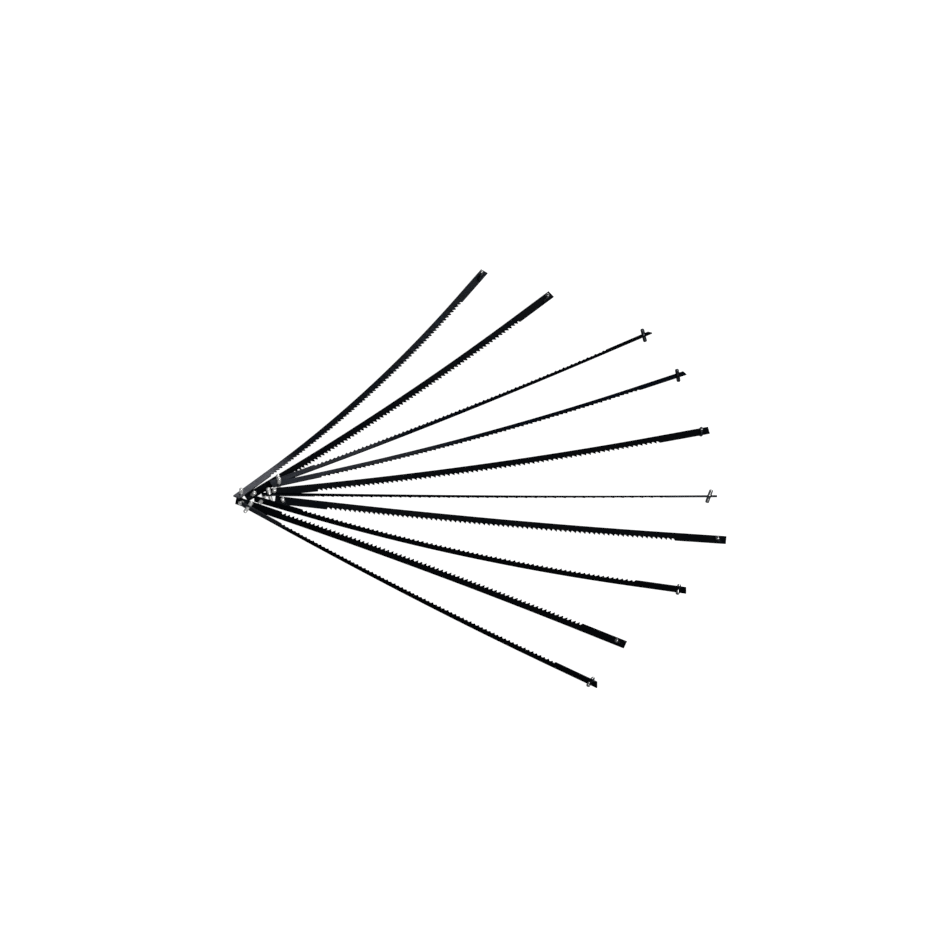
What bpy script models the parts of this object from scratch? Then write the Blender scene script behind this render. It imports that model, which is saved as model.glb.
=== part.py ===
"""Ten loose pin-end coping saw blades, fanned out on a table from one gathered end.

Metres, +Z up. The blades run from the gathered end (-X) to the spread ends (+X, +Y and -Y). Each blade is
a thin toothed strip with a steel cross pin seated in a punched hole at each end. A blade and its two pins
hang under an empty that stands on the vertical line through the blade's near pin: the line about which
the blade is pushed sideways to open or close the fan.
"""

import math

import bmesh
import bpy
from mathutils import Matrix, Vector

MM = 0.001

# The blade: 6 1/2 in between pin centres, 14 teeth to the inch.
PIN_SPACING = 165.0 * MM
TAB = 3.0 * MM  # strip beyond each pin
WIDTH = 3.0 * MM
THICKNESS = 0.5 * MM
PITCH = 25.4 / 14 * MM
TEETH = 72
TOOTH_DEPTH = 0.87 * MM
SET = 0.10 * MM  # how far a tooth's tip is bent out of the strip, left and right in turn
TEETH_PER_FACET = 4  # a bent blade is straight between stations this many teeth apart

# The cross pin and its hole. Their corners lie on the same radii, so the gap round the pin is even.
PIN_LENGTH = 5.3 * MM
PIN_RADIUS = 0.75 * MM
PIN_CHAMFER = 0.32 * MM
PIN_GAP = 0.03 * MM
PIN_SIDES = 12

TOOTHED_LENGTH = TEETH * PITCH
PLAIN = (PIN_SPACING - TOOTHED_LENGTH) / 2  # from a pin's centre to the nearest gullet

# How each blade lies. x, y: its near pin; lift: height of that pin's centre; drop: how much lower the far
# pin is; heading: from +X, anticlockwise; roll: how the blade is turned about its own length at each end,
# where 0 points the teeth left of the heading, 90 points them up; bow: mid-span deflection across the
# face; camber: mid-span deflection towards the teeth; lean: how far each pin is pressed in askew.
# Millimetres and degrees.
LAY = (
    # x, y, lift, drop, heading, roll near, roll far, bow, camber, lean near, lean far
    (-87.7, -17.8, 4.5, 1.8, 57.0, -180, -165, 2.3, 3.4, 0, 0),
    (-83.7, -15.5, 2.3, -0.2, 47.9, -140, -152, 0.8, 1.9, 0, 0),
    (-73.8, -8.2, 3.4, 0.4, 33.5, -8, -24, -1.1, -0.4, 0, 0),
    (-73.5, -11.5, 4.5, 1.0, 24.6, -184, -193, 2.8, 0.2, 0, 0),
    (-75.5, -14.5, 2.9, 0.0, 13.1, -147, -160, 1.8, 1.3, 0, 0),
    (-77.0, -19.0, 5.2, 2.0, 0.5, -202, -211, 0.5, 0, 14, -20),
    (-72.0, -20.0, 3.0, 0.2, -8.3, -141, -142, 1.8, 0.7, 0, 0),
    (-80.0, -20.0, 3.0, 1.2, -18.8, 97, 93, 5.0, 0, 0, 5),
    (-87.0, -20.5, 2.5, -0.2, -31.5, 66, 40, 0.8, 1.2, 0, 0),
    (-85.0, -25.5, 4.0, 2.6, -39.0, 108, 92, 2.2, 0.8, 8, 12),
)

BLACK_OXIDE = ("black_oxide", (0.022, 0.022, 0.024, 1.0), 0.38, 0.9)
BRIGHT_STEEL = ("bright_steel", (0.68, 0.68, 0.67, 1.0), 0.22, 1.0)


def clear_scene():
    for old in list(bpy.data.objects):
        bpy.data.objects.remove(old, do_unlink=True)


def material(finish, owner):
    """The piece's own Principled BSDF material."""
    name, colour, roughness, metallic = finish
    made = bpy.data.materials.new(f"{name}_{owner}")
    made.use_nodes = True
    shader = made.node_tree.nodes["Principled BSDF"]
    shader.inputs["Base Color"].default_value = colour
    shader.inputs["Roughness"].default_value = roughness
    shader.inputs["Metallic"].default_value = metallic
    made.diffuse_color = colour
    return made


def outline_points():
    """The strip's outline, teeth on +Y, from the near end to the far end and back along the plain edge."""
    edge = WIDTH / 2
    far = PIN_SPACING + TAB
    points = [(-TAB, -edge), (far, -edge), (far, edge)]
    teeth = []
    for tooth in range(TEETH):
        start = PLAIN + tooth * PITCH
        tip = start + 0.78 * PITCH
        teeth.append((start, edge - TOOTH_DEPTH))
        teeth.append((tip, edge))
        teeth.append((tip + 0.04 * PITCH, edge - 0.74 * TOOTH_DEPTH))
    run_out = PLAIN + TOOTHED_LENGTH
    teeth.append((run_out, edge - TOOTH_DEPTH))
    teeth.append((run_out + 0.5 * PITCH, edge))
    points += reversed(teeth)
    points += [(PLAIN - 0.15 * PITCH, edge), (-TAB, edge)]
    return points


def circle_points(x, radius, sides):
    angles = (2 * math.pi * (side + 0.5) / sides for side in range(sides))
    return [(x + radius * math.cos(angle), radius * math.sin(angle)) for angle in angles]


def flat_blade():
    """The straight blade as one closed mesh: near pin's hole at the origin, length on X, thickness on Z."""
    curve = bpy.data.curves.new("blade_outline", "CURVE")
    curve.dimensions = "2D"
    curve.fill_mode = "BOTH"
    curve.extrude = THICKNESS / 2
    hole = PIN_RADIUS + PIN_GAP
    loops = [outline_points()] + [circle_points(x, hole, PIN_SIDES) for x in (0.0, PIN_SPACING)]
    for loop in loops:
        spline = curve.splines.new("POLY")
        spline.points.add(len(loop) - 1)
        for point, (x, y) in zip(spline.points, loop):
            point.co = (x, y, 0.0, 1.0)
        spline.use_cyclic_u = True
    guide = bpy.data.objects.new("blade_outline", curve)
    bpy.context.scene.collection.objects.link(guide)
    bpy.context.view_layer.update()
    mesh = bpy.data.meshes.new_from_object(guide.evaluated_get(bpy.context.evaluated_depsgraph_get()))
    bpy.data.objects.remove(guide)

    work = bmesh.new()
    work.from_mesh(mesh)
    bmesh.ops.remove_doubles(work, verts=work.verts, dist=1e-6)
    for station in range(0, TEETH + 1, TEETH_PER_FACET):
        cut = bmesh.ops.bisect_plane(
            work,
            geom=work.verts[:] + work.edges[:] + work.faces[:],
            dist=1e-7,
            plane_co=(PLAIN + station * PITCH, 0.0, 0.0),
            plane_no=(1.0, 0.0, 0.0),
        )
        for piece in cut["geom_cut"]:
            if isinstance(piece, bmesh.types.BMEdge):
                piece.seam = True
    # One face between each pair of stations, in place of the fill's many slivers.
    bmesh.ops.dissolve_limit(
        work,
        angle_limit=math.radians(0.5),
        verts=work.verts,
        edges=work.edges,
        delimit={"SEAM"},
    )
    for vertex in work.verts:
        tooth = (vertex.co.x - PLAIN) / PITCH
        at_tip = vertex.co.y > WIDTH / 2 - 1e-6 and 0 < tooth < TEETH
        if at_tip:
            vertex.co.z += SET if int(tooth) % 2 else -SET
    bmesh.ops.recalc_face_normals(work, faces=work.faces)
    work.to_mesh(mesh)
    work.free()
    mesh.materials.clear()
    return mesh


def smooth_step(value):
    value = min(max(value, 0.0), 1.0)
    return value * value * (3 - 2 * value)


class Lie:
    """One blade's bent and twisted shape, in the frame of its empty: X along the heading, Z up."""

    def __init__(self, drop, roll_near, roll_far, bow, camber):
        self.slope = -drop / PIN_SPACING
        self.rolls = math.radians(roll_near), math.radians(roll_far)
        middle = sum(self.rolls) / 2
        teeth_way = Vector((0.0, math.cos(middle), math.sin(middle)))
        face_way = Vector((0.0, -math.sin(middle), math.cos(middle)))
        # The plain ends stay straight, so the arch lies between them and its ends carry on as tangents.
        self.arch_span = PIN_SPACING - 2 * PLAIN
        self.arch = (face_way * bow + teeth_way * camber) / (PLAIN + self.arch_span / 4)

    def middle_line(self, along):
        """The strip's centre at a distance from the near pin, and its direction there."""
        if along > PIN_SPACING / 2:
            mirrored = PIN_SPACING - along
        else:
            mirrored = along
        run = min(max(mirrored - PLAIN, 0.0), self.arch_span / 2)
        offset = min(mirrored, PLAIN) + run - run * run / self.arch_span
        steepness = 1 - 2 * run / self.arch_span
        if along > PIN_SPACING / 2:
            steepness = -steepness
        place = Vector((along, 0.0, self.slope * along)) + self.arch * offset
        direction = Vector((1.0, 0.0, self.slope)) + self.arch * steepness
        return place, direction.normalized()

    def frame(self, along):
        """A matrix whose columns are the length, the way the teeth point, the face's normal, the place."""
        place, length_way = self.middle_line(along)
        turned = smooth_step((along - PLAIN) / self.arch_span)
        roll = self.rolls[0] + (self.rolls[1] - self.rolls[0]) * turned
        face_way = length_way.cross(Vector((0.0, math.cos(roll), math.sin(roll)))).normalized()
        teeth_way = face_way.cross(length_way)
        axes = Matrix((length_way, teeth_way, face_way)).transposed()
        return Matrix.Translation(place) @ axes.to_4x4()


def bent_blade(flat, lie, leans, name):
    """A copy of the straight blade laid along a bent line. Its holes slant with their pins."""
    mesh = flat.copy()
    mesh.name = name
    for vertex in mesh.vertices:
        x, y, z = vertex.co
        for hole, lean in zip((0.0, PIN_SPACING), leans):
            if math.hypot(x - hole, y) < PIN_RADIUS + 2 * PIN_GAP:
                slant = math.radians(lean)
                x = hole + (x - hole) / math.cos(slant) + z * math.tan(slant)
                break
        vertex.co = lie.frame(x) @ Vector((0.0, y, z))
    return mesh


def pin_mesh():
    """A plain round pin on Z with its corners on the same radii as the hole's."""
    mesh = bpy.data.meshes.new("cross_pin")
    work = bmesh.new()
    bmesh.ops.create_cone(
        work,
        cap_ends=True,
        segments=PIN_SIDES,
        radius1=PIN_RADIUS,
        radius2=PIN_RADIUS,
        depth=PIN_LENGTH,
        matrix=Matrix.Rotation(math.pi / PIN_SIDES, 4, "Z"),
    )
    work.to_mesh(mesh)
    work.free()
    return mesh


def add_piece(name, mesh, finish, parent, place, collection):
    piece = bpy.data.objects.new(name, mesh)
    collection.objects.link(piece)
    piece.parent = parent
    piece.matrix_local = place
    piece.data.materials.append(material(finish, name))
    piece.data.shade_smooth()
    piece.data.set_sharp_from_angle(angle=math.radians(35))
    return piece


def add_pin(name, mesh, lie, along, lean, parent, collection):
    tilt = Matrix.Rotation(math.radians(lean), 4, "Y")
    pin = add_piece(name, mesh.copy(), BRIGHT_STEEL, parent, lie.frame(along) @ tilt, collection)
    bevel = pin.modifiers.new("end_chamfer", "BEVEL")
    bevel.width = PIN_CHAMFER
    bevel.segments = 1
    bevel.limit_method = "ANGLE"
    bevel.angle_limit = math.radians(60)
    return pin


def add_blade(number, lay, flat, pin, collection):
    """A blade and its two pins, under an empty on the vertical line through the near pin."""
    x, y, lift, drop, heading, roll_near, roll_far, bow, camber, lean_near, lean_far = lay
    swing = bpy.data.objects.new(f"swing_{number:02d}", None)
    collection.objects.link(swing)
    swing.location = (x * MM, y * MM, lift * MM)
    swing.rotation_euler = (0.0, 0.0, math.radians(heading))
    lie = Lie(drop * MM, roll_near, roll_far, bow * MM, camber * MM)
    name = f"blade_{number:02d}"
    mesh = bent_blade(flat, lie, (lean_near, lean_far), name)
    add_piece(name, mesh, BLACK_OXIDE, swing, Matrix.Identity(4), collection)
    for end, along, lean in (("near", 0.0, lean_near), ("far", PIN_SPACING, lean_far)):
        add_pin(f"pin_{number:02d}_{end}", pin, lie, along, lean, swing, collection)
    return swing


def centre_on_table(swings, collection):
    """Moves the whole fan so that its box stands on z = 0 with its middle on the Z axis."""
    bpy.context.view_layer.update()
    meshes = [piece for piece in collection.objects if piece.type == "MESH"]
    corners = [piece.matrix_world @ vertex.co for piece in meshes for vertex in piece.data.vertices]
    low = Vector(min(corner[axis] for corner in corners) for axis in range(3))
    high = Vector(max(corner[axis] for corner in corners) for axis in range(3))
    for swing in swings:
        swing.location -= Vector(((low.x + high.x) / 2, (low.y + high.y) / 2, low.z))


def main():
    clear_scene()
    collection = bpy.data.collections.new("coping_saw_blades")
    bpy.context.scene.collection.children.link(collection)
    flat = flat_blade()
    pin = pin_mesh()
    swings = [add_blade(number, lay, flat, pin, collection) for number, lay in enumerate(LAY, 1)]
    centre_on_table(swings, collection)
    bpy.data.meshes.remove(flat)
    bpy.data.meshes.remove(pin)
    bpy.context.view_layer.update()


main()
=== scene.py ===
"""Ten loose pin-end coping saw blades, fanned out on a white table.

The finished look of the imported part: a finer mesh stands in for every CAD solid, in its place.
"""

import math

import bmesh
import bpy
from mathutils import Matrix, Vector


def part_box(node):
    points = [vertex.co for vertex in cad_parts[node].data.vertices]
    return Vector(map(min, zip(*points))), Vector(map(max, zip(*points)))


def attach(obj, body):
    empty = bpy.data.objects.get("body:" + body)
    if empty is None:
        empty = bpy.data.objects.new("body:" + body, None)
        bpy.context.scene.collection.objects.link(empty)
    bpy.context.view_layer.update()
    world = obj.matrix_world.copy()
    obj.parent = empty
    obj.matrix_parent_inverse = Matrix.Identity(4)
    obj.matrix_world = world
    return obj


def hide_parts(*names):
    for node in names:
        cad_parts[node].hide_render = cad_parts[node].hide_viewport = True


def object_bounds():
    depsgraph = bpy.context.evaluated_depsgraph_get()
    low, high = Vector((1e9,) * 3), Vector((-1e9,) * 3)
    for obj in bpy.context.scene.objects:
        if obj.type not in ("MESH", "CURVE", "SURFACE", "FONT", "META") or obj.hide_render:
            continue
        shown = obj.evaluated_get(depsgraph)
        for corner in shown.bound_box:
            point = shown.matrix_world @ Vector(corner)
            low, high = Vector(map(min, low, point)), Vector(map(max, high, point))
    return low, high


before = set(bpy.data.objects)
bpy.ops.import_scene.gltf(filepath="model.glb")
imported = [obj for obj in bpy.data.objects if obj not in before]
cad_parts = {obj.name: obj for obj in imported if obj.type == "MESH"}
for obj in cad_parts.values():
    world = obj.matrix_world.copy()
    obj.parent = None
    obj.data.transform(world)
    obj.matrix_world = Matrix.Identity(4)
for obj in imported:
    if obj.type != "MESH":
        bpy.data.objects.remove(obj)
cad_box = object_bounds()

MM = 0.001

# The strip and its teeth, as in the CAD.
PIN_SPACING = 165.0 * MM
TAB = 3.0 * MM
WIDTH = 3.0 * MM
THICKNESS = 0.5 * MM
PITCH = 25.4 / 14 * MM
TEETH = 72
TOOTH_DEPTH = 0.87 * MM
SET = 0.10 * MM
PLAIN = (PIN_SPACING - TEETH * PITCH) / 2
ARCH_SPAN = TEETH * PITCH
EDGE_ROUND = 0.05 * MM
TIP_ROUND = 0.03 * MM
ROOT_MARGIN = 0.12 * MM

# Edges sharper than this stay crisp, in degrees.
STRIP_CRISP = 24
PIN_CRISP = 40

# One tooth from gullet to gullet: how far along the pitch, how far below the tips in tooth depths.
TOOTH = (
    (0.00, 1.00),
    (0.10, 0.96),
    (0.22, 0.85),
    (0.40, 0.58),
    (0.60, 0.27),
    (0.77, 0.00),
    (0.79, 0.00),
    (0.81, 0.42),
    (0.835, 0.76),
    (0.90, 0.95),
)

# The cross pin: radius and distance from its end, up to the middle of the strip, in millimetres.
PIN_HALF = 2.65 * MM
PIN_RADIUS = 0.75 * MM
PIN_PROFILE = (
    (0.26, 0.000),
    (0.40, 0.015),
    (0.53, 0.075),
    (0.635, 0.170),
    (0.705, 0.280),
    (0.742, 0.400),
    (0.750, 0.520),
    (0.750, 1.300),
    (0.750, 2.180),
    (0.762, 2.300),
    (0.800, 2.390),
    (0.800, 2.650),
)
PIN_SIDES = 40

# How far apart the strips and the pins lie in their material's space, so that no two look alike.
STRIP_STEP = 9.0
PIN_STEP = 5.0

# How each strip lies about the line between its pins, in degrees and millimetres: its roll about
# its own length at the near and far end, its mid-span bow across the face, its mid-span camber
# towards the teeth, and the lean of its near and far pin.
ROLL_BOW_LEAN = {
    1: (-180, -165, 2.3, 3.4, 0, 0),
    2: (-140, -152, 0.8, 1.9, 0, 0),
    3: (-8, -24, -1.1, -0.4, 0, 0),
    4: (-184, -193, 2.8, 0.2, 0, 0),
    5: (-147, -160, 1.8, 1.3, 0, 0),
    6: (-202, -211, 0.5, 0, 14, -20),
    7: (-141, -142, 1.8, 0.7, 0, 0),
    8: (97, 93, 5.0, 0, 0, 5),
    9: (66, 40, 0.8, 1.2, 0, 0),
    10: (108, 92, 2.2, 0.8, 8, 12),
}

# Pins that the photograph shows dark grey.
# These get a darker copy of the pin steel: painted shade.
PAINTED_SHADE_PINS = ("pin_03_far", "pin_04_far")

# Strips with a painted sheen at the near end, lighter grey standing in for light reflected off the
# oxide: how strong, up to where along the strip it is that strong, and from where there is none.
NO_PAINTED_SHEEN = (0.0, 0.0, PIN_SPACING)
PAINTED_SHEEN_ENDS = {
    1: (1.0, 15.0 * MM, 36.0 * MM),
    3: (0.28, 34.0 * MM, 62.0 * MM),
    4: (0.20, 46.0 * MM, 84.0 * MM),
    10: (0.9, 9.0 * MM, 26.0 * MM),
}

# The view: the point aimed at, from 37.3 degrees above the table, through a very long lens.
AIM = Vector((-1.74, 4.06, 0.32)) * MM
VIEW_ELEVATION = math.radians(37.3)
VIEW_DISTANCE = 14.0
VIEW_WIDTH = 0.3570
SENSOR = 36.0
VIEW_CLIP = (1.0, 100.0)

# The white table, just under the blades.
TABLE_HALF = 40.0
TABLE_GAP = 0.1 * MM
TABLE_COLOUR = (0.30, 0.30, 0.30, 1.0)
TABLE_GLOW = 0.96

# Soft panels that face the fan: name, place, width and height in metres, radiance.
PANELS = (
    ("window_behind", (0.0, 30.0, 14.0), 20.0, 9.5, 1.7),
    ("key_from_right", (12.0, -22.0, 17.0), 13.0, 13.0, 14.0),
    ("glint_from_right", (13.0, 20.0, 19.5), 7.0, 7.0, 11.0),
)
ROOM_COLOUR = (0.80, 0.85, 0.92, 1.0)
ROOM_STRENGTH = 0.15

# Surface colours, linear: the oxide's two tints, grind marks, worn tooth tips, painted sheen at
# ends.
OXIDE_BLUE = (0.0080, 0.0105, 0.0140)
OXIDE_BROWN = (0.0100, 0.0102, 0.0098)
OXIDE_MARKS = (0.019, 0.022, 0.028)
OXIDE_TIPS = (0.060, 0.065, 0.075)
OXIDE_PAINTED_SHEEN = (0.17, 0.172, 0.19)
OXIDE_EDGE_TINT = (0.35, 0.36, 0.38, 1.0)

# The pins' finishes: colour, colour where smudged or shaded, roughness at its smoothest, how
# metallic.
# Lit and shaded copies of one steel: the whitest is a painted highlight on the near pins, the
# darkest painted shade.
PIN_FINISHES = {
    "bright_steel": ((0.36, 0.36, 0.355), (0.08, 0.08, 0.08), 0.16, 1.0),
    "bright_steel_painted_highlight": ((0.93, 0.92, 0.89), (0.08, 0.08, 0.08), 0.24, 0.7),
    "bright_steel_painted_shade": ((0.07, 0.075, 0.085), (0.03, 0.03, 0.03), 0.26, 1.0),
}


# ---------------------------------------------------------------- shapes


def smooth_step(value):
    value = min(max(value, 0.0), 1.0)
    return value * value * (3 - 2 * value)


def middle_of(node):
    """The middle of a CAD node's box."""
    low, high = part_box(node)
    return (Vector(low) + Vector(high)) / 2


class Lie:
    """A blade's bent and twisted shape between its two pins, in the row frame."""

    def __init__(self, number):
        roll_near, roll_far, bow, camber, _, _ = ROLL_BOW_LEAN[number]
        near = middle_of(f"pin_{number:02d}_near")
        far = middle_of(f"pin_{number:02d}_far")
        heading = math.atan2(far.y - near.y, far.x - near.x)
        self.slope = (far.z - near.z) / PIN_SPACING
        self.to_row = Matrix.Translation(near) @ Matrix.Rotation(heading, 4, "Z")
        self.rolls = math.radians(roll_near), math.radians(roll_far)
        middle = sum(self.rolls) / 2
        teeth_way = Vector((0.0, math.cos(middle), math.sin(middle)))
        face_way = Vector((0.0, -math.sin(middle), math.cos(middle)))
        self.arch = (face_way * bow + teeth_way * camber) * MM / (PLAIN + ARCH_SPAN / 4)

    def frame(self, along):
        """Columns: along the strip, the way the teeth point, out of its face, and the place."""
        past_middle = along > PIN_SPACING / 2
        mirrored = PIN_SPACING - along if past_middle else along
        run = min(max(mirrored - PLAIN, 0.0), ARCH_SPAN / 2)
        offset = min(mirrored, PLAIN) + run - run * run / ARCH_SPAN
        steepness = (1 - 2 * run / ARCH_SPAN) * (-1 if past_middle else 1)
        place = Vector((along, 0.0, self.slope * along)) + self.arch * offset
        length_way = (Vector((1.0, 0.0, self.slope)) + self.arch * steepness).normalized()
        turned = smooth_step((along - PLAIN) / ARCH_SPAN)
        roll = self.rolls[0] + (self.rolls[1] - self.rolls[0]) * turned
        face_way = length_way.cross(Vector((0.0, math.cos(roll), math.sin(roll)))).normalized()
        teeth_way = face_way.cross(length_way)
        axes = Matrix((length_way, teeth_way, face_way)).transposed().to_4x4()
        return self.to_row @ Matrix.Translation(place) @ axes


def outline_columns():
    """(along, height of the toothed edge, sideways set) from the near end to the far end."""
    edge = WIDTH / 2
    columns = [(-TAB + EDGE_ROUND, edge, 0.0), (-TAB / 2, edge, 0.0), (0.0, edge, 0.0)]
    columns += [(PLAIN * part, edge, 0.0) for part in (0.25, 0.5, 0.75, 0.9)]
    columns.append((PLAIN - 0.17 * PITCH, edge, 0.0))
    columns.append((PLAIN - 0.12 * PITCH, edge - 0.60 * TOOTH_DEPTH, 0.0))
    for tooth in range(TEETH):
        side = SET if tooth % 2 else -SET
        for part, depth in TOOTH:
            height = edge - depth * TOOTH_DEPTH
            columns.append((PLAIN + (tooth + part) * PITCH, height, side * (1 - depth)))
    run_out = PLAIN + TEETH * PITCH
    columns.append((run_out, edge - TOOTH_DEPTH, 0.0))
    columns.append((run_out + 0.22 * PITCH, edge - 0.72 * TOOTH_DEPTH, 0.0))
    columns.append((run_out + 0.50 * PITCH, edge, 0.0))
    columns += [(PIN_SPACING - PLAIN * part, edge, 0.0) for part in (0.9, 0.7, 0.45, 0.2)]
    columns += [(PIN_SPACING + along, edge, 0.0) for along in (0.0, TAB / 2, TAB - EDGE_ROUND)]
    return columns


def cross_section(height, side):
    """The strip's outline across its width, with every long edge broken."""
    half, thick = WIDTH / 2, THICKNESS / 2
    root = half - TOOTH_DEPTH - ROOT_MARGIN
    return (
        (-half, -thick + EDGE_ROUND),
        (-half + EDGE_ROUND, -thick),
        (root, -thick),
        (height - TIP_ROUND, -thick + side),
        (height, -thick + TIP_ROUND + side),
        (height, thick - TIP_ROUND + side),
        (height - TIP_ROUND, thick + side),
        (root, thick),
        (-half + EDGE_ROUND, thick),
        (-half, thick - EDGE_ROUND),
    )


def strip_mesh(number, lie):
    """The toothed strip. Its material reads each vertex's place on the flat strip, in mm."""
    columns = outline_columns()
    rings = [(along, cross_section(height, side)) for along, height, side in columns]
    narrower, thinner = 1 - EDGE_ROUND / (WIDTH / 2), 1 - EDGE_ROUND / (THICKNESS / 2)
    shrunk = [(y * narrower, z * thinner) for y, z in cross_section(WIDTH / 2, 0.0)]
    rings.insert(0, (-TAB, shrunk))
    rings.append((PIN_SPACING + TAB, shrunk))
    work = bmesh.new()
    flat_place = work.verts.layers.float_vector.new("strip_mm")
    # The near-end sheen is painted: a lighter grey per vertex, standing in for reflected light.
    painted_sheen = work.verts.layers.float.new("painted_sheen")
    amount, full_to, none_from = PAINTED_SHEEN_ENDS.get(number, NO_PAINTED_SHEEN)
    rows = []
    for along, section in rings:
        place = lie.frame(along)
        row = []
        for y, z in section:
            vertex = work.verts.new(place @ Vector((0.0, y, z)))
            vertex[flat_place] = (along / MM, y / MM, z / MM + STRIP_STEP * number)
            vertex[painted_sheen] = amount * smooth_step((none_from - along) / (none_from - full_to))
            row.append(vertex)
        rows.append(row)
    skin(work, rows)
    return finished_mesh(work, f"saw_strip_{number:02d}", STRIP_CRISP)


def pin_mesh(name, place, number):
    """A turned cross pin on the place's Z axis, rounded at both ends and swelled at the strip."""
    work = bmesh.new()
    flat_place = work.verts.layers.float_vector.new("strip_mm")
    profile = [(radius * MM, -PIN_HALF + down * MM) for radius, down in PIN_PROFILE]
    profile += [(radius, -height) for radius, height in reversed(profile[:-1])]
    rings = []
    for radius, height in profile:
        ring = []
        for side in range(PIN_SIDES):
            angle = 2 * math.pi * side / PIN_SIDES
            point = Vector((radius * math.cos(angle), radius * math.sin(angle), height))
            vertex = work.verts.new(place @ point)
            vertex[flat_place] = (point.x / MM + PIN_STEP * number, point.y / MM, height / MM)
            ring.append(vertex)
        rings.append(ring)
    skin(work, rings)
    return finished_mesh(work, name, PIN_CRISP)


def skin(work, rings):
    """Faces from each ring of vertices to the next, and a cap on each end."""
    sides = len(rings[0])
    for ring, following in zip(rings, rings[1:]):
        for side in range(sides):
            after = (side + 1) % sides
            work.faces.new((ring[side], ring[after], following[after], following[side]))
    work.faces.new(list(reversed(rings[0])))
    work.faces.new(rings[-1])


def finished_mesh(work, name, sharp_degrees):
    """The bmesh as a mesh: faces out, smooth but for edges sharper than this."""
    bmesh.ops.recalc_face_normals(work, faces=work.faces)
    mesh = bpy.data.meshes.new(name)
    work.to_mesh(mesh)
    work.free()
    mesh.shade_smooth()
    mesh.set_sharp_from_angle(angle=math.radians(sharp_degrees))
    return mesh


# ---------------------------------------------------------------- materials


class Nodes:
    """A short way to build one material's node tree."""

    def __init__(self, name):
        self.material = bpy.data.materials.new(name)
        self.material.use_nodes = True
        self.tree = self.material.node_tree
        self.shader = self.tree.nodes["Principled BSDF"]

    def add(self, kind, **settings):
        node = self.tree.nodes.new(kind)
        for key, value in settings.items():
            setattr(node, key, value)
        return node

    def link(self, source, target):
        self.tree.links.new(source, target)

    def flat_place(self):
        return self.add("ShaderNodeAttribute", attribute_name="strip_mm").outputs["Vector"]

    def noise(self, vector, stretch, turn=0.0, detail=4.0, roughness=0.55):
        """Noise over the flat strip: stretch is the number of features per mm on each axis."""
        mapping = self.add("ShaderNodeMapping")
        mapping.inputs["Scale"].default_value = stretch
        if turn:
            turned = self.add("ShaderNodeMapping")
            turned.inputs["Rotation"].default_value = (0.0, 0.0, math.radians(turn))
            self.link(vector, turned.inputs["Vector"])
            vector = turned.outputs["Vector"]
        self.link(vector, mapping.inputs["Vector"])
        noise = self.add("ShaderNodeTexNoise")
        noise.inputs["Scale"].default_value = 1.0
        noise.inputs["Detail"].default_value = detail
        noise.inputs["Roughness"].default_value = roughness
        self.link(mapping.outputs["Vector"], noise.inputs["Vector"])
        return noise.outputs["Fac"]

    def ranged(self, value, low, high, to_low, to_high):
        node = self.add("ShaderNodeMapRange")
        limits = {"From Min": low, "From Max": high, "To Min": to_low, "To Max": to_high}
        for name, number in limits.items():
            node.inputs[name].default_value = number
        self.link(value, node.inputs["Value"])
        return node.outputs["Result"]

    def math(self, operation, first, second):
        node = self.add("ShaderNodeMath", operation=operation)
        for socket, value in zip(node.inputs, (first, second)):
            if isinstance(value, (int, float)):
                socket.default_value = value
            else:
                self.link(value, socket)
        return node.outputs["Value"]

    def mix(self, factor, first, second):
        node = self.add("ShaderNodeMix", data_type="RGBA")
        self.link(factor, node.inputs["Factor"])
        for name, colour in (("A", first), ("B", second)):
            socket = next(s for s in node.inputs if s.name == name and s.type == "RGBA")
            if isinstance(colour, tuple):
                socket.default_value = (*colour, 1.0)
            else:
                self.link(colour, socket)
        return next(s for s in node.outputs if s.type == "RGBA")

    def bump(self, height, distance, strength):
        node = self.add("ShaderNodeBump")
        node.inputs["Distance"].default_value = distance
        node.inputs["Strength"].default_value = strength
        self.link(height, node.inputs["Height"])
        self.link(node.outputs["Normal"], self.shader.inputs["Normal"])


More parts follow.
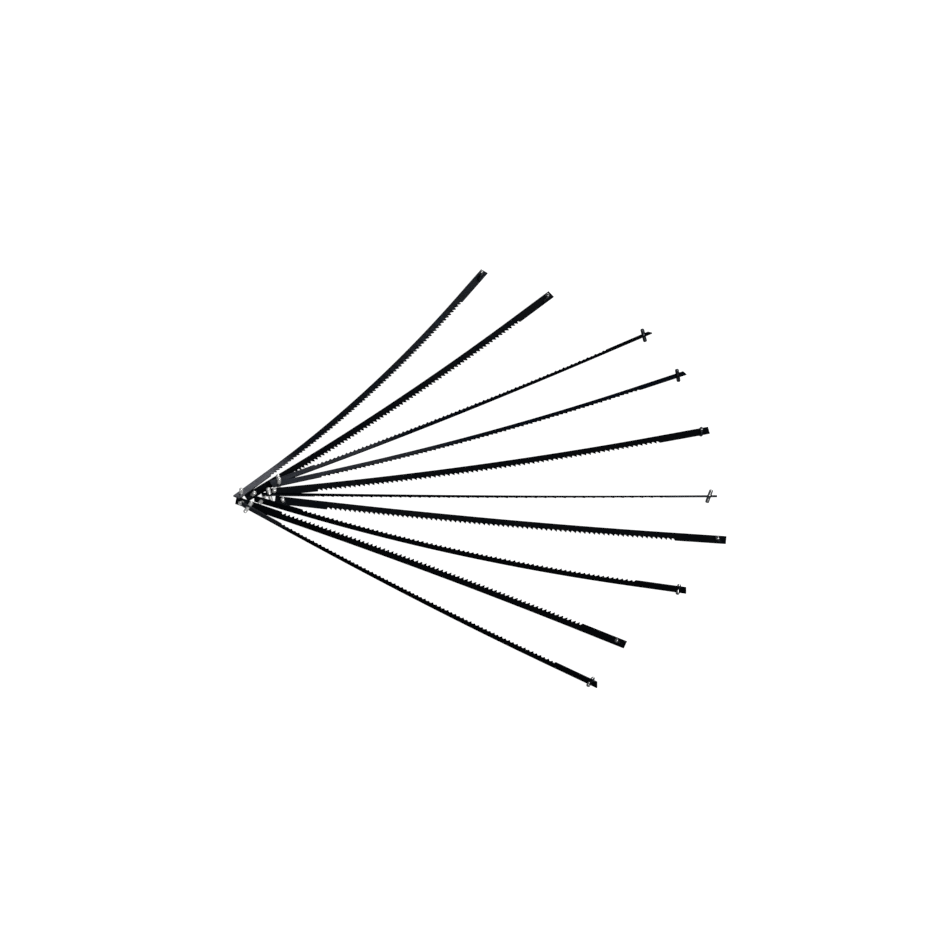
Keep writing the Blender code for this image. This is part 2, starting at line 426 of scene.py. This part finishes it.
def black_oxide():
    """Hardened strip with a satin black oxide skin over grind marks, thinner at the tooth tips."""
    nodes = Nodes("black_oxide_steel")
    place = nodes.flat_place()
    split = nodes.add("ShaderNodeSeparateXYZ")
    nodes.link(place, split.inputs["Vector"])
    across = split.outputs["Y"]
    grind = nodes.noise(place, (0.35, 11.0, 0.9), detail=6.0, roughness=0.7)
    slant = nodes.noise(place, (0.5, 7.0, 0.9), turn=62.0, detail=5.0, roughness=0.65)
    patches = nodes.noise(place, (0.11, 0.32, 0.37), detail=5.0)
    speck = nodes.noise(place, (2.6, 2.6, 2.6), detail=3.0)
    tint = nodes.mix(nodes.ranged(patches, 0.38, 0.62, 0.0, 1.0), OXIDE_BLUE, OXIDE_BROWN)
    grind_part = nodes.math("MULTIPLY", grind, 0.6)
    slant_part = nodes.math("MULTIPLY", slant, 0.4)
    marks = nodes.math("ADD", grind_part, slant_part)
    streaked = nodes.mix(nodes.ranged(marks, 0.40, 0.68, 0.0, 0.75), tint, OXIDE_MARKS)
    tips = nodes.ranged(across, 1.20, 1.50, 0.0, 0.55)
    worn = nodes.math("MULTIPLY", tips, nodes.ranged(speck, 0.42, 0.62, 0.0, 1.0))
    tipped = nodes.mix(worn, streaked, OXIDE_TIPS)
    # Painted sheen: near ends lightened to a grey that stands in for reflected light, streaked by
    # the marks.
    painted_sheen_amount = nodes.add("ShaderNodeAttribute", attribute_name="painted_sheen").outputs["Fac"]
    painted_sheen_mask = nodes.math("MULTIPLY", painted_sheen_amount, nodes.ranged(marks, 0.40, 0.58, 0.2, 1.0))
    nodes.link(nodes.mix(painted_sheen_mask, tipped, OXIDE_PAINTED_SHEEN), nodes.shader.inputs["Base Color"])
    rough = nodes.math(
        "ADD",
        nodes.ranged(patches, 0.3, 0.7, 0.30, 0.42),
        nodes.ranged(marks, 0.35, 0.7, -0.05, 0.07),
    )
    nodes.link(rough, nodes.shader.inputs["Roughness"])
    nodes.shader.inputs["Metallic"].default_value = 1.0
    nodes.shader.inputs["Specular Tint"].default_value = OXIDE_EDGE_TINT
    nodes.bump(marks, 0.02 * MM, 0.35)
    return nodes.material


def bright_steel(name, colour, smudge_and_shade_colour, rough, metallic):
    """Drawn steel wire: fine lines along it, smudges, and painted shade in a line where it meets
    the strip.
    """
    nodes = Nodes(name)
    place = nodes.flat_place()
    split = nodes.add("ShaderNodeSeparateXYZ")
    nodes.link(place, split.inputs["Vector"])
    from_strip = nodes.math("ABSOLUTE", split.outputs["Z"], 0.0)
    drawn = nodes.noise(place, (6.0, 6.0, 0.5), detail=4.0, roughness=0.6)
    smudge = nodes.noise(place, (0.9, 0.9, 0.7), detail=3.0)
    # Painted shade: a dark line on the pin where it meets the strip; the smudges are real dirt.
    shade_at_strip = nodes.ranged(from_strip, 0.26, 0.42, 1.0, 0.0)
    smudge_and_shade = nodes.math("MAXIMUM", shade_at_strip, nodes.ranged(smudge, 0.60, 0.80, 0.0, 0.30))
    nodes.link(nodes.mix(smudge_and_shade, colour, smudge_and_shade_colour), nodes.shader.inputs["Base Color"])
    nodes.link(nodes.ranged(drawn, 0.3, 0.7, rough, rough + 0.14), nodes.shader.inputs["Roughness"])
    nodes.shader.inputs["Metallic"].default_value = metallic
    nodes.bump(drawn, 0.01 * MM, 0.25)
    return nodes.material


# ---------------------------------------------------------------- pieces


def add_piece(name, mesh, material, node, body):
    """An object that replaces this CAD node, rides on this body and has this material slot."""
    piece = bpy.data.objects.new(name, mesh)
    bpy.context.scene.collection.objects.link(piece)
    mesh.materials.append(material)
    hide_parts(node)
    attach(piece, body)


def add_blades():
    """Every strip with its two pins. Near pins get a lit copy of the steel: a painted highlight."""
    black = black_oxide()
    steel = {name: bright_steel(name, *values) for name, values in PIN_FINISHES.items()}
    for number, (*_, lean_near, lean_far) in ROLL_BOW_LEAN.items():
        lie = Lie(number)
        label = f"{number:02d}"
        body = f"saw_blade_{label}"
        strip = strip_mesh(number, lie)
        add_piece(strip.name, strip, black, f"blade_{label}", body)
        for end, along, lean in (("near", 0.0, lean_near), ("far", PIN_SPACING, lean_far)):
            node = f"pin_{label}_{end}"
            place = lie.frame(along) @ Matrix.Rotation(math.radians(lean), 4, "Y")
            pin = pin_mesh(f"cross_{node}", place, number)
            # Near pins get a whiter, lit copy of the steel: a painted highlight.
            finish = "bright_steel_painted_highlight" if end == "near" else "bright_steel"
            # The listed far pins get a darker copy of the steel: painted shade.
            if node in PAINTED_SHADE_PINS:
                finish = "bright_steel_painted_shade"
            add_piece(pin.name, pin, steel[finish], node, body)


# ---------------------------------------------------------------- stage


def add_floor():
    """A white lightbox table, bright enough that the blades throw next to no shadow on it."""
    mesh = bpy.data.meshes.new("table")
    work = bmesh.new()
    bmesh.ops.create_grid(work, x_segments=1, y_segments=1, size=TABLE_HALF)
    work.to_mesh(mesh)
    work.free()
    floor = bpy.data.objects.new("table", mesh)
    bpy.context.scene.collection.objects.link(floor)
    nodes = Nodes("white_table")
    nodes.shader.inputs["Base Color"].default_value = TABLE_COLOUR
    nodes.shader.inputs["Roughness"].default_value = 0.9
    nodes.shader.inputs["Specular IOR Level"].default_value = 0.0
    nodes.shader.inputs["Emission Color"].default_value = (1.0, 1.0, 1.0, 1.0)
    nodes.shader.inputs["Emission Strength"].default_value = TABLE_GLOW
    mesh.materials.append(nodes.material)
    floor.location.z = cad_box[0][2] - TABLE_GAP
    floor.visible_glossy = False


def add_panel(name, place, width, height, radiance):
    """A soft panel facing the fan. Its power follows from the radiance wanted."""
    light = bpy.data.lights.new(name, "AREA")
    light.shape = "RECTANGLE"
    light.size, light.size_y = width, height
    light.energy = radiance * math.pi * width * height
    panel = bpy.data.objects.new(name, light)
    bpy.context.scene.collection.objects.link(panel)
    panel.location = place
    panel.rotation_euler = (-Vector(place)).to_track_quat("-Z", "Y").to_euler()
    panel.visible_camera = False


def add_lights():
    for panel in PANELS:
        add_panel(*panel)
    world = bpy.data.worlds.new("studio")
    world.use_nodes = True
    background = world.node_tree.nodes["Background"]
    background.inputs["Color"].default_value = ROOM_COLOUR
    background.inputs["Strength"].default_value = ROOM_STRENGTH
    bpy.context.scene.world = world
    bpy.context.scene.view_settings.view_transform = "Standard"


def add_camera():
    data = bpy.data.cameras.new("camera")
    data.sensor_width = SENSOR
    data.lens = SENSOR * VIEW_DISTANCE / VIEW_WIDTH
    data.clip_start, data.clip_end = VIEW_CLIP
    camera = bpy.data.objects.new("camera", data)
    bpy.context.scene.collection.objects.link(camera)
    away = Vector((0.0, -math.cos(VIEW_ELEVATION), math.sin(VIEW_ELEVATION)))
    camera.location = AIM + away * VIEW_DISTANCE
    camera.rotation_euler = (math.pi / 2 - VIEW_ELEVATION, 0.0, 0.0)
    bpy.context.scene.camera = camera


add_camera()
add_blades()
add_floor()
add_lights()
